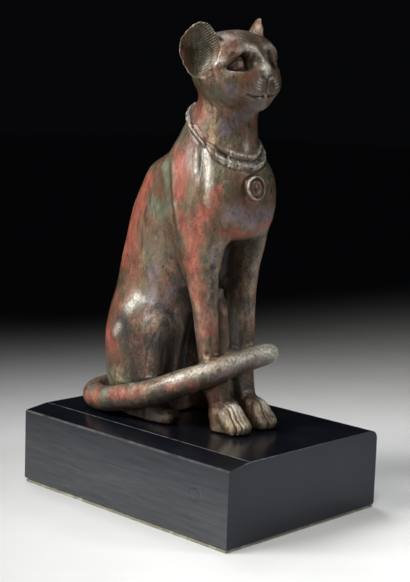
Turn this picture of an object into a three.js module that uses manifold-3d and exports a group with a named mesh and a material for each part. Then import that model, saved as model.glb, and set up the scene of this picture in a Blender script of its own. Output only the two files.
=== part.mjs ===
// Seated cat: a small bronze of a cat sitting upright on a lacquered wooden plinth, with a pad under it.
// Millimetres, +Z up. The cat looks along -Y, its left side is +X, and z = 0 is the underside of the pad.
import * as THREE from "three";
import { mergeVertices } from "three/addons/utils/BufferGeometryUtils.js";
import Module from "manifold-3d";

const wasm = await Module();
wasm.setup();

// Driving dimensions
const catHeight = 124; // soles to ear tips
const plinthWidth = 67.3; // across the cat
const plinthLength = 90.6; // along the cat
const plinthHeight = 24;
const plinthBevelWidth = 8.8; // broad, gentle bevel along one long top edge
const plinthBevelDrop = 1.2;
const plinthRounding = 3; // the other long top edge
const plinthArris = 0.5; // lower long edges and the foot of the bevel
const padThickness = 0.7;
const padInset = 0.4; // the pad stops this far inside the plinth's faces
const seatGap = 0.3; // clearance between pieces that rest on each other

// The figure is drawn 124 units tall, so its pose and proportions are shares of its own height.
const drawnHeight = 124;
const unit = catHeight / drawnHeight;

// Small vector helpers on [x, y, z]
const add = (a, b, k = 1) => [a[0] + b[0] * k, a[1] + b[1] * k, a[2] + b[2] * k];
const mix = (a, b, t) => a + (b - a) * t;
const mirror = ([x, y, z], side) => [x * side, y, z];
const unitVector = (v) => {
  const length = Math.hypot(...v);
  return v.map((c) => c / length);
};

// A smooth line through stations [height, value, value, ...], read at any height.
const profile = (stations) => (height) => {
  const last = stations.length - 1;
  const at = Math.min(Math.max(height, stations[0][0]), stations[last][0]);
  let i = 0;
  while (i < last - 1 && at > stations[i + 1][0]) i += 1;
  const slope = (k, c) => {
    const before = stations[Math.max(k - 1, 0)];
    const after = stations[Math.min(k + 1, last)];
    return (after[c] - before[c]) / (after[0] - before[0]);
  };
  const [low, high] = [stations[i], stations[i + 1]];
  const run = high[0] - low[0];
  const t = (at - low[0]) / run;
  return low.slice(1).map((value, n) => {
    const rise = high[n + 1] - value;
    const out = slope(i, n + 1) * run;
    const into = slope(i + 1, n + 1) * run;
    return value + t * out + t * t * (3 * rise - 2 * out - into) + t * t * t * (out + into - 2 * rise);
  });
};

// Fields: negative inside, positive outside, roughly in units of length.
const ball = (centre, radii, square = 2) => (p) => {
  const offset = add(p, centre, -1);
  const gauge = offset.reduce((sum, c, n) => sum + Math.abs(c / radii[n]) ** square, 0) ** (1 / square);
  return gauge < 1e-6 ? -Math.min(...radii) : Math.hypot(...offset) * (1 - 1 / gauge);
};

const limb = (from, to, startRadius, endRadius) => (p) => {
  const run = add(to, from, -1);
  const offset = add(p, from, -1);
  const along = offset[0] * run[0] + offset[1] * run[1] + offset[2] * run[2];
  const t = Math.min(Math.max(along / (run[0] ** 2 + run[1] ** 2 + run[2] ** 2), 0), 1);
  return Math.hypot(...add(offset, run, -t)) - mix(startRadius, endRadius, t);
};

// A column of oval slices: stations are [height, x, y, half width, half depth, squareness].
const column = (stations) => {
  const slice = profile(stations);
  return (p) => {
    const [x, y, half, depth, square] = slice(p[2]);
    const offset = [p[0] - x, p[1] - y];
    const sum = Math.abs(offset[0] / half) ** square + Math.abs(offset[1] / depth) ** square;
    const gauge = sum ** (1 / square);
    const aside = gauge < 1e-6 ? -Math.min(half, depth) : Math.hypot(...offset) * (1 - 1 / gauge);
    const above = p[2] - stations[stations.length - 1][0];
    return Math.max(aside, above, stations[0][0] - p[2]);
  };
};

const blend = (softness, ...fields) => (p) => {
  let joined = fields[0](p);
  for (const field of fields.slice(1)) {
    const other = field(p);
    const overlap = Math.max(softness - Math.abs(joined - other), 0) / softness;
    joined = Math.min(joined, other) - (overlap * overlap * softness) / 4;
  }
  return joined;
};

const hollow = (softness, field, ...cuts) => (p) => -blend(softness, (q) => -field(q), ...cuts)(p);

// Where a ray leaves a field.
const reach = (field, origin, direction) => {
  const stride = 0.4;
  let far = stride;
  while (field(add(origin, direction, far)) < 0) far += stride;
  let near = far - stride;
  for (let halving = 0; halving < 12; halving += 1) {
    const middle = (near + far) / 2;
    if (field(add(origin, direction, middle)) < 0) near = middle;
    else far = middle;
  }
  return add(origin, direction, (near + far) / 2);
};

// A closed skin over rings of points, with a pole at each end.
const skin = (rings, startPole, endPole) => {
  const count = rings[0].length;
  const points = [startPole, ...rings.flat(), endPole];
  const endIndex = points.length - 1;
  const top = endIndex - count;
  const index = [];
  for (let k = 0; k < count; k += 1) {
    const next = (k + 1) % count;
    index.push(0, 1 + next, 1 + k);
    index.push(endIndex, top + k, top + next);
    for (let r = 0; r < rings.length - 1; r += 1) {
      const here = 1 + r * count;
      const above = here + count;
      index.push(here + k, here + next, above + next);
      index.push(here + k, above + next, above + k);
    }
  }
  const geometry = new THREE.BufferGeometry();
  geometry.setAttribute("position", new THREE.Float32BufferAttribute(points.flat(), 3));
  geometry.setIndex(index);
  return geometry;
};

const turn = (count, n) => (n / count) * Math.PI * 2;
const steps = (from, to, count) => Array.from({ length: count }, (_, n) => mix(from, to, n / (count - 1)));
// Moves a point onto the surface of a field, unless the surface is further away than most.
const settle = (field, point, most) => {
  const nudge = 0.05;
  let p = point;
  for (let round = 0; round < 4; round += 1) {
    const here = field(p);
    const slope = [0, 1, 2].map((n) => {
      const aside = [...p];
      aside[n] += nudge;
      return (field(aside) - here) / nudge;
    });
    const steep = slope.reduce((sum, c) => sum + c * c, 1e-9);
    p = add(p, slope, -here / steep);
  }
  return Math.hypot(...add(p, point, -1)) < most ? p : point;
};

// The skin of a field, netted over a lattice: one point in each cell that the surface crosses, settled onto
// the surface, and one pair of triangles across each lattice edge that the surface cuts. bend places the
// lattice in space.
const furthestSettle = 1.2;
const unbent = (p) => p;
const netOf = (field, { low, high, cell, bend = unbent }) => {
  const counts = low.map((from, n) => Math.ceil((high[n] - from) / cell[n]) + 1);
  const strides = [1, counts[0], counts[0] * counts[1]];
  const spot = (i, j, k) => bend([low[0] + i * cell[0], low[1] + j * cell[1], low[2] + k * cell[2]]);
  const id = (i, j, k) => i + j * strides[1] + k * strides[2];
  const values = new Float64Array(counts[0] * counts[1] * counts[2]);
  for (let k = 0; k < counts[2]; k += 1) {
    for (let j = 0; j < counts[1]; j += 1) {
      for (let i = 0; i < counts[0]; i += 1) values[id(i, j, k)] = field(spot(i, j, k));
    }
  }
  const corners = Array.from({ length: 8 }, (_, n) => [n & 1, (n >> 1) & 1, n >> 2]);
  const points = [];
  const pointOf = new Map();
  const quads = [];
  for (let k = 0; k < counts[2] - 1; k += 1) {
    for (let j = 0; j < counts[1] - 1; j += 1) {
      for (let i = 0; i < counts[0] - 1; i += 1) {
        const crossings = [];
        for (const a of corners) {
          for (let axis = 0; axis < 3; axis += 1) {
            if (a[axis] === 1) continue;
            const b = a.map((c, n) => (n === axis ? 1 : c));
            const [va, vb] = [a, b].map((c) => values[id(i + c[0], j + c[1], k + c[2])]);
            if (va < 0 === vb < 0) continue;
            const [pa, pb] = [a, b].map((c) => spot(i + c[0], j + c[1], k + c[2]));
            crossings.push(pa.map((c, n) => mix(c, pb[n], va / (va - vb))));
          }
        }
        if (crossings.length === 0) continue;
        const middle = crossings.reduce((sum, c) => add(sum, c)).map((c) => c / crossings.length);
        pointOf.set(id(i, j, k), points.length);
        points.push(settle(field, middle, furthestSettle));
        // Edges that start at this cell's low corner belong to this cell and its three lower neighbours.
        for (let axis = 0; axis < 3; axis += 1) {
          const start = id(i, j, k);
          const inside = values[start] < 0;
          if (inside === values[start + strides[axis]] < 0) continue;
          const [u, v] = [strides[(axis + 1) % 3], strides[(axis + 2) % 3]];
          const loop = [start, start - u, start - u - v, start - v];
          quads.push(inside ? loop : loop.reverse());
        }
      }
    }
  }
  const index = [];
  const gap = (a, b) => Math.hypot(...add(points[a], points[b], -1));
  for (const [a, b, c, d] of quads.map((loop) => loop.map((cellId) => pointOf.get(cellId)))) {
    if (gap(a, c) < gap(b, d)) index.push(a, b, c, a, c, d);
    else index.push(b, c, d, b, d, a);
  }
  const geometry = new THREE.BufferGeometry();
  geometry.setAttribute("position", new THREE.Float32BufferAttribute(points.flat(), 3));
  geometry.setIndex(index);
  return geometry;
};

const pair = (make) => [make(-1, 0), make(1, 1)];

const toSolid = (geometry) => {
  const shape = geometry.clone();
  shape.deleteAttribute("normal");
  shape.deleteAttribute("uv");
  const merged = mergeVertices(shape, 1e-4);
  return new wasm.Manifold(new wasm.Mesh({
    numProp: 3,
    vertProperties: new Float32Array(merged.attributes.position.array),
    triVerts: new Uint32Array(merged.index.array),
  }));
};

// A joined solid as a geometry, with edges shorter than the weld closed up.
const weld = 0.005;
const toGeometry = (solid) => {
  const mesh = solid.getMesh();
  const loose = new THREE.BufferGeometry();
  loose.setAttribute("position", new THREE.BufferAttribute(mesh.vertProperties, 3));
  loose.setIndex(new THREE.BufferAttribute(mesh.triVerts, 1));
  const geometry = mergeVertices(loose, weld);
  const corners = Array.from(geometry.index.array);
  const kept = [];
  for (let n = 0; n < corners.length; n += 3) {
    const [a, b, c] = corners.slice(n, n + 3);
    if (a !== b && b !== c && c !== a) kept.push(a, b, c);
  }
  geometry.setIndex(kept);
  return geometry;
};

// Trunk: back and belly. Stations are [height, x, y, half width, half depth, squareness].
const trunkStations = [
  [-4, 0, 20, 13, 11, 2.5],
  [10, 0, 20.4, 13.6, 12, 2.5],
  [24, 0, 20, 14, 12.7, 2.4],
  [34, 0, 17.8, 14.4, 15, 2.4],
  [44, 0, 14, 14.2, 18.2, 2.3],
  [54, 0, 12.4, 13.8, 18.6, 2],
  [64, 0, 8.8, 13, 20.2, 2],
  [73, 0, 6.4, 12.2, 18.4, 2],
  [79, 0, 4.6, 11.8, 15.8, 2],
  [83.4, 0, 1, 9.4, 11.6, 2],
  [90, 0, -4, 7, 8, 2],
];
const haunches = pair((side) => ball([9 * side, 18.2, 20], [8.4, 13.6, 20.4]));
const thighs = pair((side) => limb([9 * side, 17, 29], [10.4 * side, 7.4, 30.4], 7.6, 6.6));
const shins = pair((side) => limb([11.4 * side, 7.2, 28], [12.4 * side, 6.4, 0], 6.1, 4.7));

// Neck, and the breast that swells out between the shoulders
const neckStations = [
  [66, 0, -8, 8, 9, 2],
  [76, 0, -7.2, 11, 11.6, 2.2],
  [84, 0, -6.2, 11.1, 12.3, 2],
  [90, 0, -5.7, 10.5, 11.4, 2],
  [97, 0, -7.2, 9.6, 9.8, 2],
  [103, 0, -9.2, 8.6, 8, 2],
];
const breast = ball([0, -12, 70.5], [13.8, 9.8, 13], 2.6);

// Shoulders and forelegs: each is one form from the withers down to the paw
const forelegStations = [
  [-4, 6.2, -16.8, 2.8, 3.2, 2],
  [5, 6.4, -15.6, 2.8, 3.2, 2],
  [12, 7.2, -12.6, 3.3, 3.4, 2],
  [20, 7.7, -11.4, 3.5, 3.4, 2],
  [30, 8.1, -10.2, 3.7, 3.8, 2],
  [40, 8.6, -9, 4.1, 4.6, 2],
  [49, 9, -7.5, 4.6, 7, 2],
  [57, 8.9, -6.2, 5.2, 10.5, 2.1],
  [66, 8, -4.6, 6.4, 12, 2.2],
  [75, 7.6, -2.2, 6.2, 11.8, 2.2],
  [83, 6.6, -1, 5.2, 9.4, 2.1],
  [90, 5.2, -0.8, 4, 5.4, 2],
  [95, 3.6, -2, 3, 3.6, 2],
];
// The left foreleg is deeper from front to back than the right one, all of it behind the shin.
const leftDeeper = [0, 0.8];
const forelegs = pair((side, n) => column(forelegStations.map(([height, x, y, half, depth, square]) => {
  const deeper = leftDeeper[n];
  return [height, x * side, y + deeper, half, depth + deeper, square];
})));

// Head, drawn upright and then tilted towards its right ear about a point in the neck
const headTilt = THREE.MathUtils.degToRad(5.5);
const tiltHeight = 98;
const tilted = (geometry) => {
  geometry.translate(0, 0, -tiltHeight).rotateY(-headTilt).translate(0, 0, tiltHeight);
  return geometry;
};
const tiltedField = (field) => (p) => {
  const [c, s] = [Math.cos(headTilt), Math.sin(headTilt)];
  const above = p[2] - tiltHeight;
  return field([p[0] * c + above * s, p[1], tiltHeight - p[0] * s + above * c]);
};
const skull = [
  ball([0, -10.6, 109.6], [12.7, 11.6, 11], 2.3),
  ball([0, -13.6, 106.8], [12.2, 9.6, 8.2], 2.4),
  ball([0, -12.6, 102], [9.4, 9.4, 5.4]),
];
const bridge = limb([0, -15.6, 112.4], [0, -22.6, 109], 5, 2.2);
const whiskerPads = pair((side) => ball([3.5 * side, -20.4, 104.4], [4.5, 4.2, 3.8]));
const chin = ball([0, -19.2, 99.6], [4.2, 4, 2.8]);
const brows = pair((side) => limb([3.8 * side, -18.6, 115.2], [11 * side, -15.2, 113.4], 2.4, 2));
const sockets = pair((side) => limb([5.6 * side, -21.9, 112.1], [10.4 * side, -18.9, 110.4], 2.9, 1.2));
const softHead = blend(3, ...skull, bridge, ...whiskerPads, chin, ...brows);
const headField = hollow(1.4, softHead, ...sockets);

const hindLegs = [0, 1].map((n) => blend(5, thighs[n], shins[n]));
const trunk = blend(6, column(trunkStations), ...haunches);
const torso = blend(5, trunk, ...hindLegs, column(neckStations), breast);
const bodyField = blend(2.6, torso, ...forelegs, tiltedField(headField));

// The lattice closes up towards the front and towards the head, where the form is finer. Along y it is
// numbered from 0 at the front of the figure to 1 behind it.
const latticeFront = -30;
const latticeDepth = 72;
const latticeGrowth = 0.45; // how much of the depth is gained by cells that grow towards the back
const headBend = [90, 102]; // heights between which the lattice narrows
const headShare = 0.6; // size of the head's cells across, as a share of the body's
const headRise = 0.4; // and upwards
const headMiddle = [-11, 5]; // y of the head, and of the body
const body = netOf(bodyField, {
  low: [-28.6, 0, -10.8],
  high: [28.6, 1, 180],
  cell: [2.6, 1 / 24, 4.6],
  bend: ([x, step, lift]) => {
    const y = latticeFront + latticeDepth * step * mix(1 - latticeGrowth, 1, step);
    const height = lift < headBend[0] ? lift : headBend[0] + (lift - headBend[0]) * headRise;
    const share = THREE.MathUtils.smoothstep(height, ...headBend);
    const inHead = headMiddle[0] + (y - headMiddle[1]) * headShare;
    return [x * mix(1, headShare, share), mix(y, inHead, share), height];
  },
});

// Forepaws: four toes side by side under a rounded back
const toePlaces = [-1.5, -0.5, 0.5, 1.5];
const toePitch = 2;
const forepaws = pair((side) => {
  const toes = toePlaces.map((place) => {
    const x = (5.9 + place * toePitch) * side;
    const setBack = place * place * 0.6;
    return limb([x, -18.6, 5.4], [x, -24.6 + setBack, 2], 2.5, 2.2);
  });
  const back = limb([6.4 * side, -15.6, 5.4], [5.8 * side, -19, 5], 4.1, 4.4);
  const sole = ball([5.8 * side, -19, 0], [4.7, 6.4, 5], 2.6);
  return netOf(blend(0.9, back, sole, ...toes), {
    low: [-8, -29, -6.5].map((c, n) => (n === 0 ? 5.8 * side + c : c)),
    high: [8, -7, 11.4].map((c, n) => (n === 0 ? 5.8 * side + c : c)),
    cell: [1.4, 2, 1.9],
  });
});

// Hind feet: long soles under the tail, square at the toes
const hindFeet = pair((side) => netOf(ball([12.6 * side, 9.6, 0.6], [4, 12, 4.8], 3.4), {
  low: [12.6 * side - 6, -5, -6],
  high: [12.6 * side + 6, 24, 8],
  cell: [2.2, 3, 2.4],
}));

// Ears: open cups. Rim points are [outward along the opening, height] in the plane of the opening.
const earFoot = [10, -15.4, 0];
const earOutward = unitVector([0.6, 0.8, 0]);
const earOpening = unitVector([0.8, -0.6, 0]);
const earMiddle = [6, 115];
const earDepth = 4.6;
const earWall = 1.4;
const earRim = [
  [3.9, 123.8], [2.2, 121.6], [0, 117], [0, 113.4], [2, 110], [4.6, 107.4], [7.4, 106.6],
  [10, 108.6], [12, 112.4], [12.6, 116.4], [11.4, 119.8], [8.6, 122.4], [5.6, 124],
];
const earPoint = (side) => (u, v, depth) => {
  const onFoot = add(add(earFoot, earOutward, u), [0, 0, 1], v);
  return mirror(add(onFoot, earOpening, -depth), side);
};
const earCup = (share) => earDepth * (1 - share ** 2);
// A closed skin over rings of the rim's shape: each ring is [share of the rim, depth behind the opening].
const earSkin = (side, frontDepth, rings, backDepth) => {
  const outline = earRim.map(([u, v]) => new THREE.Vector3(u, v, 0));
  const curve = new THREE.CatmullRomCurve3(outline, true, "centripetal");
  const rim = curve.getSpacedPoints(22).slice(1).map((q) => [q.x, q.y]);
  const point = earPoint(side);
  const loops = rings.map(([share, depth]) => {
    const loop = rim.map(([u, v]) => point(mix(earMiddle[0], u, share), mix(earMiddle[1], v, share), depth));
    return side > 0 ? loop.reverse() : loop;
  });
  return skin(loops, point(...earMiddle, frontDepth), point(...earMiddle, backDepth));
};
const ears = pair((side) => earSkin(
  side,
  earCup(0),
  [
    ...[0.4, 0.68, 0.88].map((share) => [share, earCup(share)]),
    [0.96, 0.2],
    [1, 0.5],
    [0.98, earWall],
    ...[0.85, 0.62, 0.34].map((share) => [share, earCup(share) + earWall]),
  ],
  earCup(0) + earWall,
));
// The room in front of each cup, which the side of the head leaves free
const earRooms = pair((side) => earSkin(
  side,
  -earDepth,
  [
    [0.6, -earDepth],
    [0.9, -earDepth / 2],
    ...[0.9, 0.6, 0.3].map((share) => [share, earCup(share) + earWall / 2]),
  ],
  earCup(0) + earWall / 2,
));

// Tail: curls round the right side of the cat and across in front of the forelegs
const tailPath = [
  [1, 27, 8], [-5, 33, 5], [-12, 34, 4.4], [-18, 29.4, 4.3], [-20.4, 21, 4.9], [-20.4, 11, 7.4],
  [-18.8, 1, 10.6], [-16, -8, 14.6], [-11, -14.4, 17.8], [-3, -17, 20], [6, -17.4, 21.3], [17, -17, 22.1],
];
const tailThickness = [4.2, 3.7]; // at its root and near its end
const tailTaper = 0.93; // share of its length at which the tail starts to round off
const tail = (() => {
  const path = new THREE.CatmullRomCurve3(tailPath.map((p) => new THREE.Vector3(...p)), false, "centripetal");
  const sides = 10;
  const stops = [...steps(0, tailTaper, 30), 0.955, 0.975, 0.99, 0.998];
  const up = new THREE.Vector3(0, 0, 1);
  const rings = stops.map((t) => {
    const past = Math.max(t - tailTaper, 0) / (1 - tailTaper);
    const radius = mix(...tailThickness, THREE.MathUtils.smoothstep(t, 0.6, 0.9)) * Math.sqrt(1 - past ** 2);
    const centre = path.getPointAt(t);
    const ahead = path.getTangentAt(t);
    const across = new THREE.Vector3().crossVectors(up, ahead).normalize();
    const over = new THREE.Vector3().crossVectors(ahead, across);
    return Array.from({ length: sides }, (_, n) => {
      const angle = turn(sides, n);
      const out = across.clone().multiplyScalar(Math.cos(angle)).addScaledVector(over, Math.sin(angle));
      return centre.clone().addScaledVector(out, radius).toArray();
    });
  });
  return skin(rings, path.getPointAt(0).toArray(), path.getPointAt(1).toArray());
})();

// Collar: a string of beads in relief that dips from the nape to the breast and thickens behind the neck
const collarMiddle = [0, -7];
const collarLow = [-21, 80.3]; // y and height of its lowest place
const collarRise = [0.34, 0.0165]; // height gained by each unit back from there, and by its square
const collarRadius = [1.1, 1.9]; // in front, and behind the neck
const collarBehind = [-8, 3]; // y between which it thickens
const collarLean = 0.3; // it rides higher on the left of the throat
const collar = (() => {
  const around = 32;
  const sides = 5;
  const places = Array.from({ length: around }, (_, n) => {
    const angle = turn(around, n);
    const out = [Math.cos(angle), Math.sin(angle), 0];
    let spot = [0, 0, collarLow[1]];
    for (let round = 0; round < 6; round += 1) {
      const back = spot[1] - collarLow[0];
      const lean = collarLean * Math.max(spot[0], 0) * THREE.MathUtils.smoothstep(-spot[1], 0, 10);
      const height = collarLow[1] + back * (collarRise[0] + back * collarRise[1]) + lean;
      spot = reach(bodyField, [...collarMiddle, height], out);
    }
    return { spot, out: new THREE.Vector3(...out) };
  });
  const rings = places.map(({ spot, out }, n) => {
    const next = places[(n + 1) % around].spot;
    const last = places[(n + around - 1) % around].spot;
    const ahead = new THREE.Vector3(...add(next, last, -1)).normalize();
    const over = new THREE.Vector3().crossVectors(out, ahead).normalize();
    const across = new THREE.Vector3().crossVectors(ahead, over);
    const radius = mix(...collarRadius, THREE.MathUtils.smoothstep(spot[1], ...collarBehind));
    return Array.from({ length: sides }, (_, k) => {
      const way = across.clone().multiplyScalar(Math.cos(turn(sides, k)));
      way.addScaledVector(over, Math.sin(turn(sides, k)));
      return add(spot, way.toArray(), radius);
    });
  });
  const index = [];
  for (let n = 0; n < around; n += 1) {
    for (let k = 0; k < sides; k += 1) {
      const [here, there] = [n * sides, ((n + 1) % around) * sides];
      const beside = (k + 1) % sides;
      index.push(here + k, there + k, there + beside, here + k, there + beside, here + beside);
    }
  }
  const geometry = new THREE.BufferGeometry();
  geometry.setAttribute("position", new THREE.Float32BufferAttribute(rings.flat(2), 3));
  geometry.setIndex(index);
  return geometry;
})();

// Pendant: a disc with a raised rim and a low boss, on the breast under the collar
const pendantRadius = 3.8;
const pendantRim = 0.8;
const pendantCentre = [-2.3, -22.1, 74.2];
const pendantFace = 1.1; // how far its face stands in front of its centre
const pendantRelief = 0.6; // height of the rim and the boss over the face
const pendant = new THREE.LatheGeometry([
  [0, -2.4],
  [pendantRadius - pendantRim, -2.4],
  [pendantRadius, 0],
  [pendantRadius, pendantFace],
  [pendantRadius - pendantRim / 2, pendantFace + pendantRelief],
  [pendantRadius - pendantRim, pendantFace],
  [pendantRadius * 0.45, pendantFace],
  [0, pendantFace + pendantRelief],
].map(([r, h]) => new THREE.Vector2(r, h)), 14);
pendant.rotateX(Math.PI - THREE.MathUtils.degToRad(8)).translate(...pendantCentre);

const joined = (pieces) => pieces.map(toSolid).reduce((whole, piece) => whole.add(piece));
const floor = new THREE.BoxGeometry(200, 200, 20).translate(0, 0, -10);
const carved = earRooms.map(tilted).map(toSolid).reduce((left, room) => left.subtract(room), toSolid(body));
const catSolid = joined([...forepaws, ...hindFeet, tail, collar, pendant, ...ears.map(tilted)])
 .add(carved).subtract(toSolid(floor));
const catGeometry = toGeometry(catSolid);
catGeometry.scale(unit, unit, unit);

// Plinth: its cross-section runs the length of the block
const plinthShape = (() => {
  const half = plinthWidth / 2;
  const shape = new THREE.Shape();
  shape.moveTo(-half + plinthArris, 0);
  shape.lineTo(half - plinthArris, 0);
  shape.lineTo(half, plinthArris);
  shape.lineTo(half, plinthHeight - plinthRounding);
  shape.absarc(half - plinthRounding, plinthHeight - plinthRounding, plinthRounding, 0, Math.PI / 2, false);
  shape.lineTo(-half + plinthBevelWidth, plinthHeight);
  shape.lineTo(-half + plinthArris, plinthHeight - plinthBevelDrop);
  shape.lineTo(-half, plinthHeight - plinthBevelDrop - plinthArris);
  shape.lineTo(-half, plinthArris);
  shape.closePath();
  return shape;
})();
const plinthGeometry = new THREE.ExtrudeGeometry(plinthShape, {
  depth: plinthLength,
  bevelEnabled: false,
  curveSegments: 8,
});
plinthGeometry.translate(0, 0, -plinthLength / 2);
plinthGeometry.rotateX(Math.PI / 2);

const padWidth = plinthWidth - 2 * padInset;
const padLength = plinthLength - 2 * padInset;
const padGeometry = new THREE.BoxGeometry(padWidth, padLength, padThickness);
padGeometry.translate(0, 0, padThickness / 2);

// Materials
const bronze = new THREE.MeshStandardMaterial({ color: "#6b5140", roughness: 0.42, metalness: 0.85 });
const lacquer = new THREE.MeshStandardMaterial({ color: "#15151a", roughness: 0.25, metalness: 0 });
const felt = new THREE.MeshStandardMaterial({ color: "#6f6f4c", roughness: 0.95, metalness: 0 });

const place = (name, geometry, material, height) => {
  const mesh = new THREE.Mesh(geometry, material);
  mesh.name = name;
  mesh.position.z = height;
  return mesh;
};

const plinthFoot = padThickness + seatGap;
const figure = new THREE.Group();
figure.add(place("felt_pad", padGeometry, felt, 0));
figure.add(place("plinth", plinthGeometry, lacquer, plinthFoot));
figure.add(place("bronze_cat", catGeometry, bronze, plinthFoot + plinthHeight + seatGap));

export default figure;
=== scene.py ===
# %% [markdown]
# # A seated bronze cat on a lacquered block
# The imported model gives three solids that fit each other: the cat, which is one casting, the block
# under it, and the felt under the block. This lesson dresses them. Each solid is copied, the copy is
# worked up until it looks like the real thing, and the plain solid is hidden behind it. Everything is
# in metres and stands where the solids stand.

# %% The frame
import math
import bpy
import numpy as np
from mathutils import Matrix, Vector, noise
from mathutils.bvhtree import BVHTree


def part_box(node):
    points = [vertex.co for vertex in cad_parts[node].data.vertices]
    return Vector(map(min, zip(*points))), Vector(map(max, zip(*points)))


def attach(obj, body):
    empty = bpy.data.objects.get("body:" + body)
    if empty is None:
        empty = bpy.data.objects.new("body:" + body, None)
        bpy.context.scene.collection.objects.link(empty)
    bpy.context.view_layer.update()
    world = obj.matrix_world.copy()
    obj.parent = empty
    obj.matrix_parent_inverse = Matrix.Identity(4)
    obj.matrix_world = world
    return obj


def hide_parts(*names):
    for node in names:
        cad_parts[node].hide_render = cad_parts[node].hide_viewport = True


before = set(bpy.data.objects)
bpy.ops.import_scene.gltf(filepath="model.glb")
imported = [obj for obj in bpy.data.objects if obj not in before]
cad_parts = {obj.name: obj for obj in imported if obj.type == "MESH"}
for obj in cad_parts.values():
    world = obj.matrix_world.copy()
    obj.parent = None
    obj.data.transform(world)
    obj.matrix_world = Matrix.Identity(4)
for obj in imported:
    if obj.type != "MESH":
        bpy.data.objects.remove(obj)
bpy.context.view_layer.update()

# %% [markdown]
# ## The camera
# The photograph looks at the cat's right front quarter from a little above, with a long lens and a
# slight roll. A camera could be placed by eye, but its angles were measured from the block's edges, so
# the camera is built from them: one direction that points back from the cat, turned by the roll.

# %% Camera
azimuth, elevation, roll = (math.radians(a) for a in (-45.79, 8.55, 1.97))
camera_place = Vector((-0.2948, -0.2877, 0.1276))
cat_middle = Vector((0, 0, 0.08))
back = Vector((
    math.sin(azimuth) * math.cos(elevation), -math.cos(azimuth) * math.cos(elevation), math.sin(elevation)
))
level = Vector((math.cos(azimuth), math.sin(azimuth), 0))
upright = back.cross(level)
right = level * math.cos(roll) + upright * math.sin(roll)
above = upright * math.cos(roll) - level * math.sin(roll)
camera = bpy.data.objects.new("camera", bpy.data.cameras.new("camera"))
camera.data.sensor_width = 36
camera.data.lens = 82.33
camera.matrix_world = Matrix.Translation(camera_place) @ Matrix((right, above, back)).transposed().to_4x4()
bpy.context.collection.objects.link(camera)
bpy.context.scene.camera = camera
print("camera", round((camera_place - cat_middle).length, 3), "m from the cat")

# %% [markdown]
# ## Light and floor
# A bronze is judged by its reflections, so it wants soft lamps with edges. Three stand on the left, one
# high, one low and one behind that aims over the head. They draw the pale streaks on the chest, the
# haunch and the tail. A weak one on the right front opens the shadows, one from behind lights the crown,
# and one lights only the floor in front. Each has a grid that narrows its beam, so the far floor fades
# into a nearly dark room and the polished block has little to reflect. A ready sky would be quicker, but
# would fill the dark side with light.

# %% Studio
def lamp(name, place, aim, size, power, spread, colour):
    """A rectangular soft lamp, with a grid that limits its spread, that faces the point it is aimed at."""
    data = bpy.data.lights.new(name, "AREA")
    data.shape = "RECTANGLE"
    data.size, data.size_y = size
    data.energy = power
    data.spread = math.radians(spread)
    data.color = colour
    made = bpy.data.objects.new(name, data)
    turn = (Vector(aim) - Vector(place)).to_track_quat("-Z", "Y")
    made.matrix_world = Matrix.Translation(place) @ turn.to_matrix().to_4x4()
    bpy.context.collection.objects.link(made)
    return made


def linear(code):
    """An sRGB hex colour as linear red, green, blue and one."""
    parts = [int(code[n:n + 2], 16) / 255 for n in (1, 3, 5)]
    return (*(v / 12.92 if v <= 0.04045 else ((v + 0.055) / 1.055) ** 2.4 for v in parts), 1)


cat_chest = (0, 0, 0.09)
cat_neck = (0, 0, 0.115)
over_head = (0, 0, 0.155)
floor_front = (-0.1, -0.24, 0)
lamps = [
    lamp("front floor lamp", (-0.3, -0.3, 0.55), floor_front, (0.2, 0.2), 0.52, 46, (1, 0.99, 0.97)),
    lamp("crown lamp", (0.1, 0.3, 0.6), cat_chest, (0.3, 0.2), 0.08, 34, (0.96, 0.98, 1)),
    lamp("left high lamp", (-0.45, 0.15, 0.5), cat_neck, (0.25, 0.35), 0.2, 32, (1, 0.98, 0.95)),
    lamp("left back lamp", (-0.5, 0.35, 0.45), over_head, (0.2, 0.4), 0.28, 32, (0.96, 0.98, 1)),
    lamp("left low lamp", (-0.58, 0.2, 0.17), cat_neck, (0.3, 0.3), 0.05, 28, (1, 0.97, 0.93)),
    lamp("right front lamp", (0.3, -0.45, 0.42), cat_neck, (0.15, 0.4), 0.1, 34, (0.93, 0.96, 1)),
]
world = bpy.data.worlds.new("studio")
bpy.context.scene.world = world
world.use_nodes = True
room = world.node_tree.nodes["Background"]
room.inputs["Color"].default_value = linear("#101114")
room.inputs["Strength"].default_value = 0.35
bpy.context.scene.view_settings.view_transform = "Standard"

under_felt = -0.0001
bpy.ops.mesh.primitive_plane_add(size=5, location=(0, 0, under_felt))
floor = bpy.context.active_object
floor.name = "floor"
print("lamps", [made.name for made in lamps])

# %% [markdown]
# ## Small helpers
# One helper turns a CAD solid into a new object with its doubled corners merged, the start of every
# piece. One stores a weight on a mesh for the material to read. Each new material brings a function that
# adds one node with its settings and the sockets that feed it, and gives back what comes out, so that a
# material reads as a short list. In a mix, sockets 0, 1 and 2 are the factor and the two colours.

# %% Helpers
def take(piece):
    """Selects one piece alone and makes it active."""
    bpy.ops.object.select_all(action="DESELECT")
    piece.select_set(True)
    bpy.context.view_layer.objects.active = piece


def copy_of(node_name, name, whole_flats=False):
    """A new object from a solid, its corners merged, its flats made whole if asked, alone selected."""
    made = bpy.data.objects.new(name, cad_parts[node_name].data.copy())
    made.data.name = name
    made.data.materials.clear()
    bpy.context.collection.objects.link(made)
    take(made)
    bpy.ops.object.mode_set(mode="EDIT")
    bpy.ops.mesh.select_all(action="SELECT")
    bpy.ops.mesh.remove_doubles(threshold=1e-6)
    if whole_flats:
        bpy.ops.mesh.dissolve_limited(angle_limit=math.radians(1))
    bpy.ops.object.mode_set(mode="OBJECT")
    return made


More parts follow.
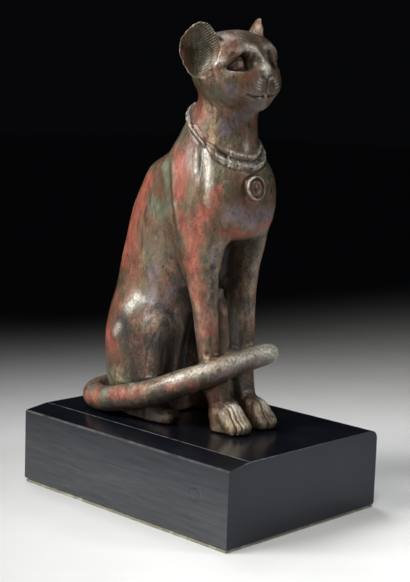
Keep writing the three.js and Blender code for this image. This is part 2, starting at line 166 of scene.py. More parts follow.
def choose_faces(piece, chosen):
    """Goes to edit mode with just the chosen faces selected."""
    bpy.ops.object.mode_set(mode="EDIT")
    bpy.ops.mesh.select_all(action="DESELECT")
    bpy.ops.object.mode_set(mode="OBJECT")
    piece.data.polygons.foreach_set("select", chosen)
    bpy.ops.object.mode_set(mode="EDIT")
    bpy.ops.mesh.select_mode(type="FACE")


def keep(piece, name, values, domain="POINT"):
    """Stores a number for each point or face as an attribute that the material reads."""
    made = piece.data.attributes.new(name, "FLOAT", domain)
    made.data.foreach_set("value", np.asarray(values, dtype=np.float32))


def new_material(name):
    """An empty node material, the function that adds a node to it, and its object coordinates."""
    made = bpy.data.materials.new(name)
    made.use_nodes = True
    tree = made.node_tree
    tree.nodes.clear()

    def node(kind, settings, out=0):
        """Adds a node, each setting a value or the socket that feeds it, and gives its output."""
        added = tree.nodes.new("ShaderNode" + kind)
        for key, value in settings.items():
            if isinstance(value, bpy.types.NodeSocket):
                tree.links.new(value, added.inputs[key])
            elif isinstance(key, str) and key in added.bl_rna.properties:
                setattr(added, key, value)
            else:
                added.inputs[key].default_value = value
        return added.outputs[out] if added.outputs else None

    return made, node, node("TexCoord", {}, "Object")


def put_on(piece, material, node_name):
    """Gives a piece its material and its body, and hides the solid it stands for."""
    piece.data.materials.append(material)
    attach(piece, "root")
    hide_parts(node_name)


print("helpers ready")

# %% [markdown]
# ## The cat, first state
# The solid is faceted, with flats of 3 to 4 mm, and the real cat is a smooth wax form cast in bronze.
# Subdividing the facets would keep every join between parts as a crease. A voxel remesh gives an even
# skin of small squares over the whole casting instead, so the flats can be rubbed down as a founder
# rubs a wax, and carving tools can work on it anywhere.

# %% Remesh
metre = 1000  # millimetres in a metre
voxel = 0.66 / metre
cat = copy_of("bronze_cat", "cat")
remesh = cat.modifiers.new("skin", "REMESH")
remesh.mode = "VOXEL"
remesh.voxel_size = voxel
bpy.ops.object.modifier_apply(modifier=remesh.name)
print("cat skin", len(cat.data.polygons), "squares")

# %% [markdown]
# ## Reading and writing the skin
# The carving is done on arrays of points in millimetres, with the cat's soles at height 0, because the
# sizes of the forms are plain numbers there. The head leans 5.5 degrees towards the right ear, so head
# features are measured in the head's own upright frame.

# %% Skin arrays
soles = (0, 0, 25.3)  # where the cat stands
head_lean = math.radians(5.5)
lean_height = 98  # the lean turns about this height


def triples(rows, name):
    """A vector of each point, normal or face of a mesh, one in each row."""
    flat = np.empty(len(rows) * 3)
    rows.foreach_get(name, flat)
    return flat.reshape(-1, 3)


class Skin:
    """The points, normals and edges of a mesh, in millimetres from the cat's soles."""

    def __init__(self, piece):
        self.piece = piece
        mesh = piece.data
        self.at = triples(mesh.vertices, "co") * metre - soles
        ends = np.empty(len(mesh.edges) * 2, dtype=np.int64)
        mesh.edges.foreach_get("vertices", ends)
        self.edges = ends.reshape(-1, 2)
        self.share = np.bincount(ends, minlength=len(self.at))
        self.write()

    def around(self, values):
        """The mean of each point's neighbours, for one column or several."""
        columns = values.reshape(len(self.at), -1)
        a, b = self.edges.T
        made = [np.bincount(a, c[b], len(self.at)) + np.bincount(b, c[a], len(self.at)) for c in columns.T]
        return (np.array(made).T / self.share[:, None]).reshape(values.shape)

    def rub(self, rounds, weight, step=0.6):
        """Evens the skin out and gives back what the large forms lost by it."""
        start = self.at.copy()
        once = self.relaxed(start, rounds, weight, step)
        self.at = 2 * once - self.relaxed(once, rounds, weight, step)
        self.write()

    def relaxed(self, points, rounds, weight, step):
        """The points after so many small steps towards their neighbours' mean."""
        for _ in range(rounds):
            points = points + (self.around(points) - points) * (weight * step)[:, None]
        return points

    def push(self, amount, way=None):
        """Moves the points by an amount along their normals, or along a way."""
        self.at = self.at + amount[:, None] * (self.normal if way is None else way)

    def write(self):
        """Puts the points back on the mesh and reads the new normals."""
        mesh = self.piece.data
        mesh.vertices.foreach_set("co", ((self.at + soles) / metre).ravel())
        mesh.update()
        self.normal = triples(mesh.vertex_normals, "vector")

    def head(self):
        """The points in the upright frame of the head."""
        c, s = math.cos(head_lean), math.sin(head_lean)
        x, y, z = self.at.T
        up = z - lean_height
        return np.array([x * c + up * s, y, lean_height - x * s + up * c]).T


def ease(value, low, high):
    """0 below low, 1 above high, and a smooth turn between them."""
    t = np.clip((value - low) / (high - low), 0, 1)
    return t * t * (3 - 2 * t)


def fall(value, low, high):
    """1 below low, 0 above high."""
    return 1 - ease(value, low, high)


def bell(distance, width):
    """1 at no distance, fading to about 0 at two widths."""
    return np.exp(-((distance / width) ** 2))


def from_place(points, place):
    """Distance of each point from a place."""
    return np.linalg.norm(points - place, axis=1)


def to_path(points, path):
    """Distance of each point from a path of straight stretches, and how far along it that is."""
    path = np.array(path, dtype=float)
    best = np.full(len(points), 1e9)
    along = np.zeros(len(points))
    gone = 0
    for a, b in zip(path[:-1], path[1:]):
        d = b - a
        length = np.linalg.norm(d)
        t = np.clip(((points - a) @ d) / length**2, 0, 1)
        away = np.linalg.norm(points - a - t[:, None] * d, axis=1)
        nearer = away < best
        best[nearer] = away[nearer]
        along[nearer] = gone + t[nearer] * length
        gone += length
    return best, along, gone


def groove(skin, path, width, depth, fade=2, points=None):
    """Cuts a rounded groove, or raises a ridge where the depth is negative, that fades at both ends."""
    away, along, length = to_path(skin.at if points is None else points, path)
    ends = ease(along, -0.01, fade) * ease(length - along, -0.01, fade)
    skin.push(-depth * bell(away, width) * ends)


skin = Skin(cat)
print("points", len(skin.at))

# %% [markdown]
# ## Rubbing down
# Broad forms such as the back can be rubbed hard. The collar, the pendant, the ears and the paws are
# narrow, so they get a light touch, or they would melt away. A weight on each point says how hard.

# %% Rubbing
collar_low = (-21, 80.3)  # y and height of the lowest place of the collar
collar_rise = (0.34, 0.0165)  # rise for each millimetre back, and for its square
collar_lean = 0.3
pendant_centre = np.array([-2.3, -22.1, 74.2])


def over_collar(points):
    """Height of each point over the middle line of the collar."""
    x, y, z = points.T
    back = y - collar_low[0]
    lean = collar_lean * np.maximum(x, 0) * ease(-y, 0, 10)
    return z - collar_low[1] - back * (collar_rise[0] + back * collar_rise[1]) - lean


def on_ears(skin):
    """1 on the two ears, 0 elsewhere."""
    x, y, z = skin.head().T
    return ease(z, 104, 108) * ease(np.abs(x) + y * 0.35, 7.5, 9) * ease(y, -17.5, -15)


def fineness(skin):
    """1 where the forms are broad, less where they are narrow."""
    x, y, z = skin.at.T
    weight = 1 - 0.85 * on_ears(skin)
    weight *= 1 - 0.5 * ease(z, 94, 98) * ease(-y, 12, 16)
    on_collar = fall(np.abs(over_collar(skin.at)), 2.0, 3.4)
    weight *= 1 - 0.82 * on_collar * ease(z, 76, 79)
    near_pendant = fall(from_place(skin.at, pendant_centre), 4.6, 6)
    weight *= 1 - 0.88 * near_pendant
    paws = fall(z, 9, 12) * ease(-y, 12, 15)
    weight *= 1 - 0.6 * paws
    hind_feet = fall(z, 5, 7) * ease(np.abs(x), 8, 9.5) * fall(y, 14, 20) * ease(y, -6, -4)
    weight *= 1 - 0.75 * hind_feet
    weight *= ease(z, 0.2, 1.2) * 0.9 + 0.1
    return weight


skin.rub(20, fineness(skin))
print("rubbed down; box", skin.at.min(0).round(1), skin.at.max(0).round(1))

# %% [markdown]
# ## Finer squares where the carving is fine
# The eyes, the collar and the toes need lines of half a millimetre, which squares of 0.66 mm can't
# carry. Only those places are divided, so the piece stays light. Narrow forms from the collar up are
# then drawn back to the solid, as rubbing wore them, and the ears are rubbed once more.

# %% Subdividing
def divide(piece, chosen):
    """Divides the faces whose middle is chosen by a test on cat millimetres."""
    choose_faces(piece, chosen(triples(piece.data.polygons, "center") * metre - soles))
    bpy.ops.mesh.subdivide(number_cuts=1)
    bpy.ops.object.mode_set(mode="OBJECT")


def fine_places(middles):
    """The face, the ears, the collar, the pendant and the paws."""
    x, y, z = middles.T
    face = (z > 97) & (y < -9)
    ear = (z > 102) & (np.abs(x) > 8) & (y > -17)
    strand = (np.abs(over_collar(middles)) < 3) & (z > 76)
    disc = from_place(middles, pendant_centre) < 5
    paw = (z < 12) & (y < -15)
    return face | ear | strand | disc | paw


def settle(skin, amount):
    """Draws the points back to the solid's own surface, by an amount from 0 to 1 for each."""
    solid = copy_of("bronze_cat", "guide")
    corners, sides = [v.co for v in solid.data.vertices], [f.vertices for f in solid.data.polygons]
    guide = BVHTree.FromPolygons(corners, sides)
    bpy.data.objects.remove(solid)
    for n in np.flatnonzero(amount > 0.01):
        spot, *_ = guide.find_nearest(Vector((skin.at[n] + soles) / metre))
        skin.at[n] += amount[n] * (np.array(spot) * metre - soles - skin.at[n])
    skin.write()


divide(cat, fine_places)
skin = Skin(cat)
settle(skin, ease(1 - fineness(skin), 0.3, 0.7) * ease(skin.at[:, 2], 70, 74))
skin.rub(5, fineness(skin) * 0.5 + 0.4)
skin.rub(30, on_ears(skin))
print("points", len(skin.at), "faces", len(cat.data.polygons))

# %% [markdown]
# ## Body lines
# The shoulder blade stands a little over a crease behind it, with a groove and two soft ridges in front.
# The haunch has two incised arcs that run down to the hind foot.

# %% Shoulder and haunch
crease = np.array([
    (-9.9, 6.4, 83.4), (-12.7, 3, 79.7), (-13.6, 1.4, 75.3), (-13.9, 0.9, 70.8),
    (-14.1, -0.4, 66.4), (-14, -1.3, 61.9), (-13.8, -2.6, 57.4), (-12.8, -3.4, 52),
])
shoulder_groove = [(-11, -7.4, 87.5), (-11.7, -8.8, 82.5), (-12.9, -10.1, 78.4), (-13.6, -10.4, 74)]
shoulder_ridges = [
    [(-11.2, -5.9, 87.4), (-12, -7.4, 82.4), (-13.1, -9.1, 77.8)],
    [(-9.6, -10.6, 88.6), (-10.8, -12, 82.7), (-12.2, -13.4, 78.1), (-13.2, -14, 72), (-13.6, -13.6, 66)],
]
haunch_arcs = [
    [(-15, 2, 31.7), (-16.5, 2.6, 29.3), (-17.3, 4.7, 25.3), (-17.5, 6.2, 22.6), (-17.3, 7.5, 16.6)],
    [(-14.5, 1.4, 25.5), (-14.6, 2, 22.3), (-14.9, 2.4, 17.2)],
]
for side in (1, -1):
    way = (side, 1, 1)
    away, along, length = to_path(skin.at, crease * way)
    ends = ease(along, 0, 8) * ease(length - along, 0, 14)
    edge = np.interp(skin.at[:, 2], *crease[::-1, 2:0:-1].T)
    ahead = ease(edge - skin.at[:, 1], -1.3, 1.3)
    skin.push(ends * (0.45 * ahead * bell(away, 4) - 0.22 * (1 - ahead) * bell(away, 3)))
    groove(skin, crease * way, 1.1, 0.1, fade=9)
    groove(skin, np.array(shoulder_groove) * way, 0.75, 0.55, fade=5)
    for path, width, depth in zip(shoulder_ridges, (0.9, 2), (-0.4, -0.75)):
        groove(skin, np.array(path) * way, width, depth, fade=5)
    for path in haunch_arcs:
        groove(skin, np.array(path) * way, 0.45, 0.22, fade=4)
skin.write()
print("body lines cut")

# %% [markdown]
# ## The head
# The eyes are almond sockets with a heavy lid line and a low ball inside, under a raised brow that runs
# down the side of the nose. They are cut from outlines in the head's own frame, seen from the front. A
# separate eyeball could be set in, but the real one is cast with the head.

# %% Eyes and brows
eye_outline = [
    (4.3, 109.7), (3.7, 111.8), (3.7, 113.6), (4.5, 114.6), (5.8, 114.5), (7.4, 113.4),
    (9.2, 111.8), (11.1, 109.8), (9, 109.1), (6.8, 108.9), (5.2, 109),
]
eye_middle = (6.6, 111.4)
ball_half = (3.3, 2.4)
socket_depth, ball_height = 1.35, 1.0
brow_line = [
    (12.6, 110.3), (10.6, 112.6), (8.2, 114.6), (5.6, 115.7),
    (3.4, 115.6), (1.8, 114.6), (1, 112.6), (0.8, 110.6),
]


def depth_in(outline, u, v):
    """How far inside a closed outline each point lies; outside is negative."""
    ring = np.array(outline, dtype=float)
    inside = np.zeros(len(u), dtype=bool)
    for (ax, ay), (bx, by) in zip(ring, np.roll(ring, -1, axis=0)):
        inside ^= ((ay > v) != (by > v)) & (u < (bx - ax) * (v - ay) / (by - ay + 1e-12) + ax)
    away, _, _ = to_path(np.array([u, v]).T, np.vstack([ring, ring[:1]]))
    return np.where(inside, away, -away)


for side in (1, -1):
    head = skin.head()
    u, v = head[:, 0] * side, head[:, 2]
    front = ease(-head[:, 1], 13, 15)
    inner = depth_in(eye_outline, u, v)
    looks = skin.normal[(inner > 0) & (front > 0.5)].mean(0)
    looks /= np.linalg.norm(looks)
    ball = 1 - ((u - eye_middle[0]) / ball_half[0]) ** 2 - ((v - eye_middle[1]) / ball_half[1]) ** 2
    sunk = -socket_depth * ease(inner, -0.1, 0.5) + ball_height * np.sqrt(np.clip(ball, 0, 1))
    over = ease(v - u * 0.1, 109.4, 110.6)
    lid = (0.1 + 0.12 * over) * bell(inner + 0.35, 0.3)
    skin.push((sunk * (inner > -0.2) + lid) * front, looks)
    away, along, length = to_path(np.array([u, v]).T, brow_line)
    ends = ease(along, 0, 2.5) * ease(length - along, 0, 3)
    skin.push(0.38 * bell(away, 0.85) * front * ends)
    skin.write()
print("eyes cut")

# %% [markdown]
# The muzzle has a raised nose tip, two nostrils, the line under the nose, the long mouth line, and a few
# short strokes on each pad for the whisker roots. They are cut as grooves along short paths.

# %% Nose, mouth and whisker pads
def on_face(path):
    """A path given as seen from the front in the head's frame, laid on the face."""
    head = skin.head()
    laid = []
    for u, v in path:
        near = np.flatnonzero((np.hypot(head[:, 0] - u, head[:, 2] - v) < 0.7) & (head[:, 1] < -12))
        laid.append((u, head[near, 1].min(), v))
    return laid


tip = from_place(skin.head(), (-0.4, -24.6, 109))
skin.push(0.75 * bell(tip, 1.25), (-0.25, -0.9, 0.35))
for side in (1, -1):
    pad = from_place(skin.head(), (3.6 * side - 0.4, -23.6, 104.4))
    skin.push(0.4 * bell(pad, 2))
skin.write()
midline = -0.5
# Each line is a path, its width, its depth, and how far its ends fade.
nose_lines = [([(midline, 106.6), (midline, 103.4), (midline, 101.7)], 0.36, 0.55, 0.5)]
whisker_roots = []
for side in (1, -1):
    for path, *cut in (
        ([(0, 101.7), (1.8, 101), (3.8, 100.9), (5.8, 101.5), (7.6, 102.3)], 0.5, 1, 1),
        ([(0.8, 107.1), (1.5, 107), (2, 107.6)], 0.42, 0.7, 0.3),
        ([(0, 106.6), (1.3, 106.4)], 0.3, 0.35, 0.3),
    ):
        nose_lines.append(([(u * side + midline, v) for u, v in path], *cut))
    for row in range(4):
        u, v = 2.3 + 0.35 * row, 106 - 0.85 * row
        stroke = [(u * side + midline, v), ((u + 1.5) * side + midline, v + 0.75)]
        nose_lines.append((stroke, 0.2, -0.28, 0.4))
        whisker_roots.append(stroke)
        nose_lines.append(([(a, b - 0.42) for a, b in stroke], 0.2, 0.2, 0.4))
for path, width, depth, fade in nose_lines:
    groove(skin, on_face(path), width, depth, fade, skin.head())
skin.write()
whisker_roots = [on_face(path) for path in whisker_roots]
lip = from_place(skin.head(), (midline, -24.2, 100.9))
skin.push(0.35 * bell(lip, 0.9))
skin.write()
print("nose lines", len(nose_lines))

# %% [markdown]
# The ears are open cups, and the ridge of each cheek runs into the ear's foot. Inside, the hairs are
# cut as slanting lines: the band they fill and their slant are kept as attributes for the material.
# Cutting them in the mesh would need squares of a tenth of a millimetre.

# %% Cheeks and ears
ear_foot = np.array([10, -15.4])
ear_out, ear_open = np.array([0.6, 0.8]), np.array([0.8, -0.6])
hatch_pitch = 0.8
hatch_band, hatch_slant = np.zeros(len(skin.at)), np.zeros(len(skin.at))
cheek_ridge = [(11, -12, 112), (13, -14.4, 111.2), (13.6, -16.4, 110.6), (12.6, -17.6, 110)]
ear_slit = [(13.3, -7.4, 105.2), (13.8, -10.2, 104.6), (13.9, -12.4, 105)]
for side in (1, -1):
    head = skin.head()
    flat = head[:, :2] * (side, 1) - ear_foot
    u, deep, v = flat @ ear_out, -(flat @ ear_open), head[:, 2]
    facing = skin.normal[:, 0] * side * ear_open[0] + skin.normal[:, 1] * ear_open[1]
    cup = ease(facing, 0.1, 0.35) * ease(deep, 0.3, 0.8) * ease(v, 106, 108) * ease(u, 0.2, 1)
    hatch_band += cup * ease(u, 0.6, 1.6) * fall(u, 6.8, 7.6) * ease(v, 108, 110)
    hatch_slant += np.where(cup > 0, v - 0.55 * (8 - u), 0)
    fold = cup * ease(v, 107.5, 110)
    skin.push(fold * (0.1 * bell(u - 7.9, 0.7) - 0.1 * bell(u - 8.8, 0.6)))
    skin.write()
    away, along, length = to_path(skin.head(), np.array(ear_slit) * (side, 1, 1))
    skin.push(-0.8 * bell(away, 0.55) * ease(along, 0, 1) * ease(length - along, 0, 1))
    away, along, length = to_path(skin.head(), np.array(cheek_ridge) * (side, 1, 1))
    skin.push(0.5 * bell(away, 1) * ease(along, 0, 2) * ease(length - along, 0, 1.5))
    skin.write()
print("ear points", int((hatch_band > 0.5).sum()))

# %% [markdown]
# ## Collar and pendant
# The collar is a string of long beads in relief, darker along its upper edge, with a thin second strand
# in front. The joints between the beads are cut across it at an even pitch, measured along the string,
# which is found by walking round the neck and noting where the collar stands out.

# %% Collar
bead_pitch = 3.9
collar_middle = np.array([0, -7])


def string_length(points):
    """How far along the collar each point lies, from the angle round the neck."""
    off = points[:, :2] - collar_middle
    angle = np.arctan2(off[:, 1], off[:, 0])
    middle = (np.abs(over_collar(points)) < 0.5) & (points[:, 2] > 76) & (points[:, 2] < 104)
    stops = np.linspace(-math.pi, math.pi, 73)
    line = []
    for a in stops:
        turned = np.abs(np.angle(np.exp(1j * (angle - a))))
        near = np.argsort(np.where(middle, turned, 9))[:6]
        line.append(points[near].mean(0))
    gone = np.concatenate([[0], np.cumsum(np.linalg.norm(np.diff(line, axis=0), axis=1))])
    return np.interp(angle, stops, gone), gone[-1]


along, whole = string_length(skin.at)
beads = round(whole / bead_pitch)
uneven = 0.12 * np.sin(along * 0.9) + 0.08 * np.sin(along * 2.3)
place = (along / whole * beads + uneven) % 1
gap = np.minimum(place, 1 - place) * whole / beads
rise = over_collar(skin.at)
behind = ease(skin.at[:, 1], -8, 3)
half = 1.1 + 0.8 * behind
near_neck = ease(skin.at[:, 2], 76, 78) * fall(skin.at[:, 2], 102, 104)
on_string = fall(np.abs(rise), half * 0.8, half * 1.15) * near_neck
skin.push(-0.52 * on_string * bell(gap, 0.36))
upper_edge = bell(rise - half * 1.05, 0.4) * near_neck
lower_edge = bell(rise + half * 1.1, 0.4) * near_neck
in_front = ease(-skin.at[:, 1], 14, 17)
skin.push(-0.4 * upper_edge - 0.3 * lower_edge)
second = bell(rise - 2.3, 0.55) * in_front * near_neck
skin.push(0.6 * second * (0.8 + 0.2 * np.cos(2 * math.pi * along / 1.3)))
skin.write()
print("beads", beads, "string", round(whole, 1), "mm")

# %% [markdown]
# The pendant is a round disc that hangs from the collar by a bail: a raised rim, a groove, an inner
# ring and a hollow middle. It is one casting with the chest, so it is turned on the skin by the
# distance from its centre, as a potter's profile is.

# %% Pendant
disc_tilt = math.radians(8)
disc_look = np.array([0, -math.cos(disc_tilt), math.sin(disc_tilt)])
off = skin.at - pendant_centre
deep = off @ disc_look
flat = off - deep[:, None] * disc_look
radius = np.linalg.norm(flat, axis=1)
on_disc = ease(deep, 0.2, 0.7) * fall(radius, 3.7, 4.1) * (np.abs(deep) < 4)
inner_ring, outer_groove = bell(radius - 1.9, 0.32), bell(radius - 2.7, 0.35)
hollow_middle = fall(radius, 0.8, 1.7)
skin.push(on_disc * (0.16 * inner_ring - 0.35 * outer_groove - 0.35 * hollow_middle))
bail = from_place(skin.at, pendant_centre + (-1.5, -0.9, 3.6))
skin.push(0.9 * bell(bail, 1.1), (-0.3, -0.95, 0.1))
skin.write()
print("pendant points", int(on_disc.sum()))

# %% [markdown]
# ## Paws
# The forepaws are made a little slimmer than the solid's, the insides of the shins are filled out below
# the tail, and the hind feet get a squarer end with a groove. Long curved grooves then part the toes of
# the forepaws, from the front edge up over the top, and the far knee is made fuller.

# %% Toes
paw_middle, toe_pitch = 5.9, 1.8
slimness = 0.13  # how much narrower the wax paws are than the solid's
shin_fill, foot_fill, knee_fill = 2.6, 1.1, 1.2
toe_depth, toe_width = 0.85, 0.36
x, y, z = skin.at.T
on_paws = fall(z, 9, 12) * ease(-y, 15, 18)
skin.push(-slimness * on_paws * (np.abs(x) - paw_middle) * np.sign(x), (1, 0, 0))
shins = ease(z, 6, 10) * fall(z, 21, 24) * ease(-y, 4, 8) * fall(-y, 18, 20)
shins *= ease(-skin.normal[:, 0] * np.sign(x), 0.1, 0.6)
skin.push(-shin_fill * shins * np.sign(x), (1, 0, 0))
foot_end = fall(z, 5, 7) * ease(np.abs(x), 9, 10.5) * ease(-skin.normal[:, 1], 0, 0.4)
foot_end = foot_end * ease(-y, -1, 1) * fall(-y, 6, 8)
skin.push(foot_fill * foot_end * ease(z, 0.5, 2.5), (0, -1, 0.1))
foot_groove = np.array([(18, -1.6, 0), (17, -1.6, 2.5), (15, -2, 4.4), (13, -2.4, 5)])
for side in (1, -1):
    groove(skin, foot_groove * (side, 1, 1), 0.4, 0.45, fade=0.5)
skin.write()
for side in (1, -1):
    for place in (-1, 0, 1, 1.9):
        x, y, z = skin.at.T
        narrowing = 1 - 0.35 * ease(z, 1, 10) - 0.15 * ease(-z, -3, 0)
        line = (paw_middle + place * toe_pitch * narrowing) * side
        on_paw = fall(z, 9.5, 11) * ease(-y, 17, 19)
        skin.push(-toe_depth * bell(x - line, toe_width) * on_paw)
        for beside in (-0.85, 0.85):
            skin.push(-0.14 * bell(x - line - beside, 0.2) * on_paw)
        skin.write()
x, y, z = skin.at.T
knee = ease(x, 3, 6) * ease(z, 14, 26) * fall(z, 38, 46) * fall(y, 4, 9)
knee = knee * ease(-skin.normal[:, 1], 0.1, 0.6) * ease(y, -2, 0)
skin.push(knee_fill * knee, (0.2, -1, 0))
skin.write()
print("toes cut")

# %% [markdown]
# ## Cast skin
# Old bronze is never quite even: the casting, the burial and centuries of handling leave shallow waves
# and small pits. Waves are low noise on the points, and weaker on the head. Above the tail, where no
# hand or cloth gets in, a rough crust stands in relief. The finest pits are left to the material.

# %% Uneven skin
def waves(points, size, seed):
    """Smooth noise from -1 to 1 with features of about that many millimetres."""
    shift = Vector((seed * 17.3, seed * 5.1, seed * 9.7))
    return np.array([noise.noise(Vector(p) / size + shift) for p in points])


calm = 1 - 0.75 * ease(skin.at[:, 2], 96, 100)
skin.push(calm * (0.09 * waves(skin.at, 6, 1) + 0.05 * waves(skin.at, 2.2, 2)))
crust_lines = [
    [(-14.9, 26.9, 10.4), (-16.6, 20.1, 10.2), (-21.8, 8.9, 11.9)],
    [(-13, -12.6, 21), (-8.3, -14.1, 24.8), (4.8, -12.3, 23.6), (9, -14, 25)],
]
crust_reach, crust_height = 2.6, 0.32
crusted = np.maximum.reduce([bell(to_path(skin.at, path)[0], crust_reach) for path in crust_lines])
skin.push(crusted * crust_height * waves(skin.at, 1.3, 3))
skin.write()
print("skin box", skin.at.min(0).round(2), skin.at.max(0).round(2))

# %% [markdown]
# ## Where the colours lie
# The patina is patchy: red where the copper oxide shows, grey-green and violet-grey elsewhere, and golden
# where hands have rubbed the paws and the tail. Dark weights paint shade, with some dark crust, in the deep
# corners, between the legs and under the body and the tail, and bright ones paint highlights on bare
# metal. Each is a soft weight along short paths, given as a reach in millimetres, a strength, and the
# points. Noise stirs all but the bright ones, and the material breaks the weights up again, so that no
# edge is drawn by hand. Low down, the pale wear is kept to the paws and what faces up, which paints the
# sides and undersides there darker, as shade.

# %% Colour weights
red_paths = [
    (6, 0.56, (-12.5, 17, 68), (-13, 18.5, 56), (-14, 18, 44)),
    (4, 0.5, (-13.6, -6, 60), (-13, -7, 48), (-11.8, -9.5, 36)),
    (3, 0.5, (9.5, -15, 56), (9.5, -13.6, 42), (9, -14.6, 30)), (5, 0.42, (-8, -18, 72), (-3, -20, 70)),
    (5, 0.5, (-16.5, 22, 34), (-17, 20, 20)),
    (5.5, 1, (-10.4, 15.4, 74.2), (-10.8, 20.5, 62.8), (-11.7, 23.7, 49.8)),
    (4, 0.9, (-9, 24, 66), (-6, 27, 52)),
    (4, 0.8, (-11.4, 1.4, 84.3), (-13.3, -1.6, 78.5), (-14.2, -3.3, 71.1)),
    (3, 0.95, (-14.4, -3.8, 65.2), (-14.2, -5.1, 60.7)),
    (3.2, 0.95, (-12.6, -17.1, 72.8), (-14, -11.1, 64.6), (-13.9, -8.8, 56.9), (-13.4, -7.8, 48.6),
     (-12.7, -9.5, 41.4), (-11.6, -11.7, 37), (-10.5, -13, 31)),
    (3.4, 1, (12.5, -15, 62), (12.6, -13, 50), (11.5, -13, 38), (10.8, -13.5, 29)),
    (2.4, 0.85, (-10.4, -17.2, 61.1), (-2, -18.8, 60), (4.1, -20.1, 61.9), (10, -18, 64)),
    (3.6, 0.75, (-8.8, -4.2, 101), (-9.2, -5.1, 98), (-9.7, -6.9, 95)),
    (4.2, 0.95, (-15.9, 26.2, 25.6), (-17.1, 23.3, 21.4)), (4, 0.55, (-14, 26.5, 38), (-15.5, 26.5, 30)),
    (3, 1, (-23.6, 27, 4.5), (-23.9, 23, 6)), (3, 1.05, (-24, 14.5, 8), (-24, 9.5, 9)),
    (2.6, 0.85, (-23.2, 5, 11), (-22.7, 2.4, 11.6)), (2.6, 0.85, (-20.5, -6.5, 13), (-17.7, -13.2, 16)),
    (4, 0.5, (-13.3, 14.8, 57.2), (-13.9, 15.6, 48.7), (-14.6, 17, 38)),
    (2.2, 0.32, (-8.8, -18.6, 116.6), (-11.6, -18.2, 114.6)), (2.4, 0.5, (-5, -23, 107), (-9, -20.5, 106)),
    (5, 0.9, (10, 15, 74), (11, 20, 62), (12, 23, 50)), (4, 0.8, (13.5, 0, 77), (14, -4, 62)),
    (5, 0.7, (0, 27, 60), (1, 30.5, 45), (3, 31, 30)), (5, 0.7, (16, 24, 24), (17, 8, 22)),
]
green_paths = [
    (3.2, 0.9, (-11.4, 5.6, 81), (-13.5, 3.6, 72.1)),
    (3.6, 0.9, (-12.5, 11, 66.9), (-13, 6.8, 64.4), (-13.3, 3.9, 66.6)),
    (4.5, 0.7, (-13.3, 14.8, 57.2), (-13.6, 10.3, 55.8), (-13.9, 11.7, 51.3)),
    (2.6, 0.9, (-14.1, -7, 72.9), (-14.4, -6.6, 68.4)), (2.2, 0.9, (-14.2, -5.1, 59), (-14, -7.2, 55)),
    (1.3, 0.9, (-13.4, -12, 59), (-12.9, -12, 53), (-12.3, -11.9, 46.9)),
    (1.6, 0.9, (-10.4, -14.2, 36), (-9.6, -14.6, 26)),
    (4, 1, (-14.9, 26.9, 10.4), (-16.6, 20.1, 10.2), (-21.8, 8.9, 11.9)),
    (2.2, 1, (-24, 19.8, 7.6), (-24, 17, 8.3)), (3.5, 0.7, (-10.3, 2.7, 86.6), (-9.2, 1, 92)),
    (2.6, 0.7, (-10.6, -13, 102), (-9.6, -16.6, 99.4)), (4, 0.8, (-13, -8, 110), (-12.8, -7.8, 117)),
    (4, 0.5, (-4, -12, 121), (1, -14, 120)), (5, 0.5, (-14.6, 12, 42), (-16, 14, 30)),
    (7, 0.48, (-12.6, 17, 62), (-14, 12, 48)), (5, 0.8, (12, 12, 68), (13, 6, 60)),
    (6, 0.7, (15, 14, 42), (16, 10, 26)), (5, 0.6, (4, 29, 56), (-4, 30, 38)),
    (4, 0.7, (12, -1, 86), (13, -6, 76)),
]
violet_paths = [
    (1.8, 1, (-9.6, -19.6, 111), (-8, -20.4, 111.6)),
    (3.6, 0.95, (-8.4, -20.4, 66.4), (0.8, -21.3, 64.6), (7, -20.5, 65)),
    (3.6, 0.9, (-6.5, -14.4, 92.5), (-3.5, -16.3, 94.7)), (2.3, 1, (-11, -19, 102.8), (-9.9, -18.4, 100.8)),
    (3, 0.7, (-2, -22, 97.8), (-3.2, -19.9, 97.2)), (1.7, 0.8, (-11.8, -14.8, 55.6), (-9.3, -13.7, 43.2)),
    (5, 0.8, (-11, 2.3, 40), (-13.5, 1, 29)), (4.5, 0.6, (-14, 8, 46), (-15.5, 8, 34)),
    (2.4, 0.75, (-5.5, -25, 104), (-6, -23.5, 100.5)), (4, 0.6, (12, -16, 72), (13, -8, 50)),
    (2, 0.85, (8.6, -14.6, 54), (8.6, -13.4, 40), (8.4, -14.4, 30)),
    (1.6, 0.9, (-14, -17.4, 17), (-6, -20.4, 19.5), (4, -21.4, 20.6)), (5, 0.6, (13, 8, 56), (14, 6, 30)),
]
gold_paths = [
    (5, 1.15, (-8, -25, 3), (-5, -28, 4), (-6, -24, 7)), (4.5, 1.1, (4, -27, 3), (6, -28, 3), (6, -24, 7)),
    (4, 0.85, (-14.7, -14.2, 20), (-10.5, -16.3, 22), (-5.8, -18, 23)),
    (4, 0.9, (0.3, -16.5, 24.2), (6.2, -17.2, 24.9), (11.5, -18.7, 24.8)),
    (3, 0.7, (-14, -3, 2), (-15, -7, 3)), (3, 0.6, (-10, -9, 121), (-12, -8, 123)),
    (3, 0.6, (-18, 21, 14), (-19, 16, 13)), (2.2, 0.7, (-15, 25.5, 11), (-17.4, 19, 11)),
    (4, 0.48, (-9, -11.2, 97), (-9.2, -10.4, 91)), (2.6, 0.42, (-12.5, -18.1, 107), (-13.4, -15.5, 105)),
    (1.7, 0.5, (-14, -8.5, 107.5), (-13, -10, 107)),
]
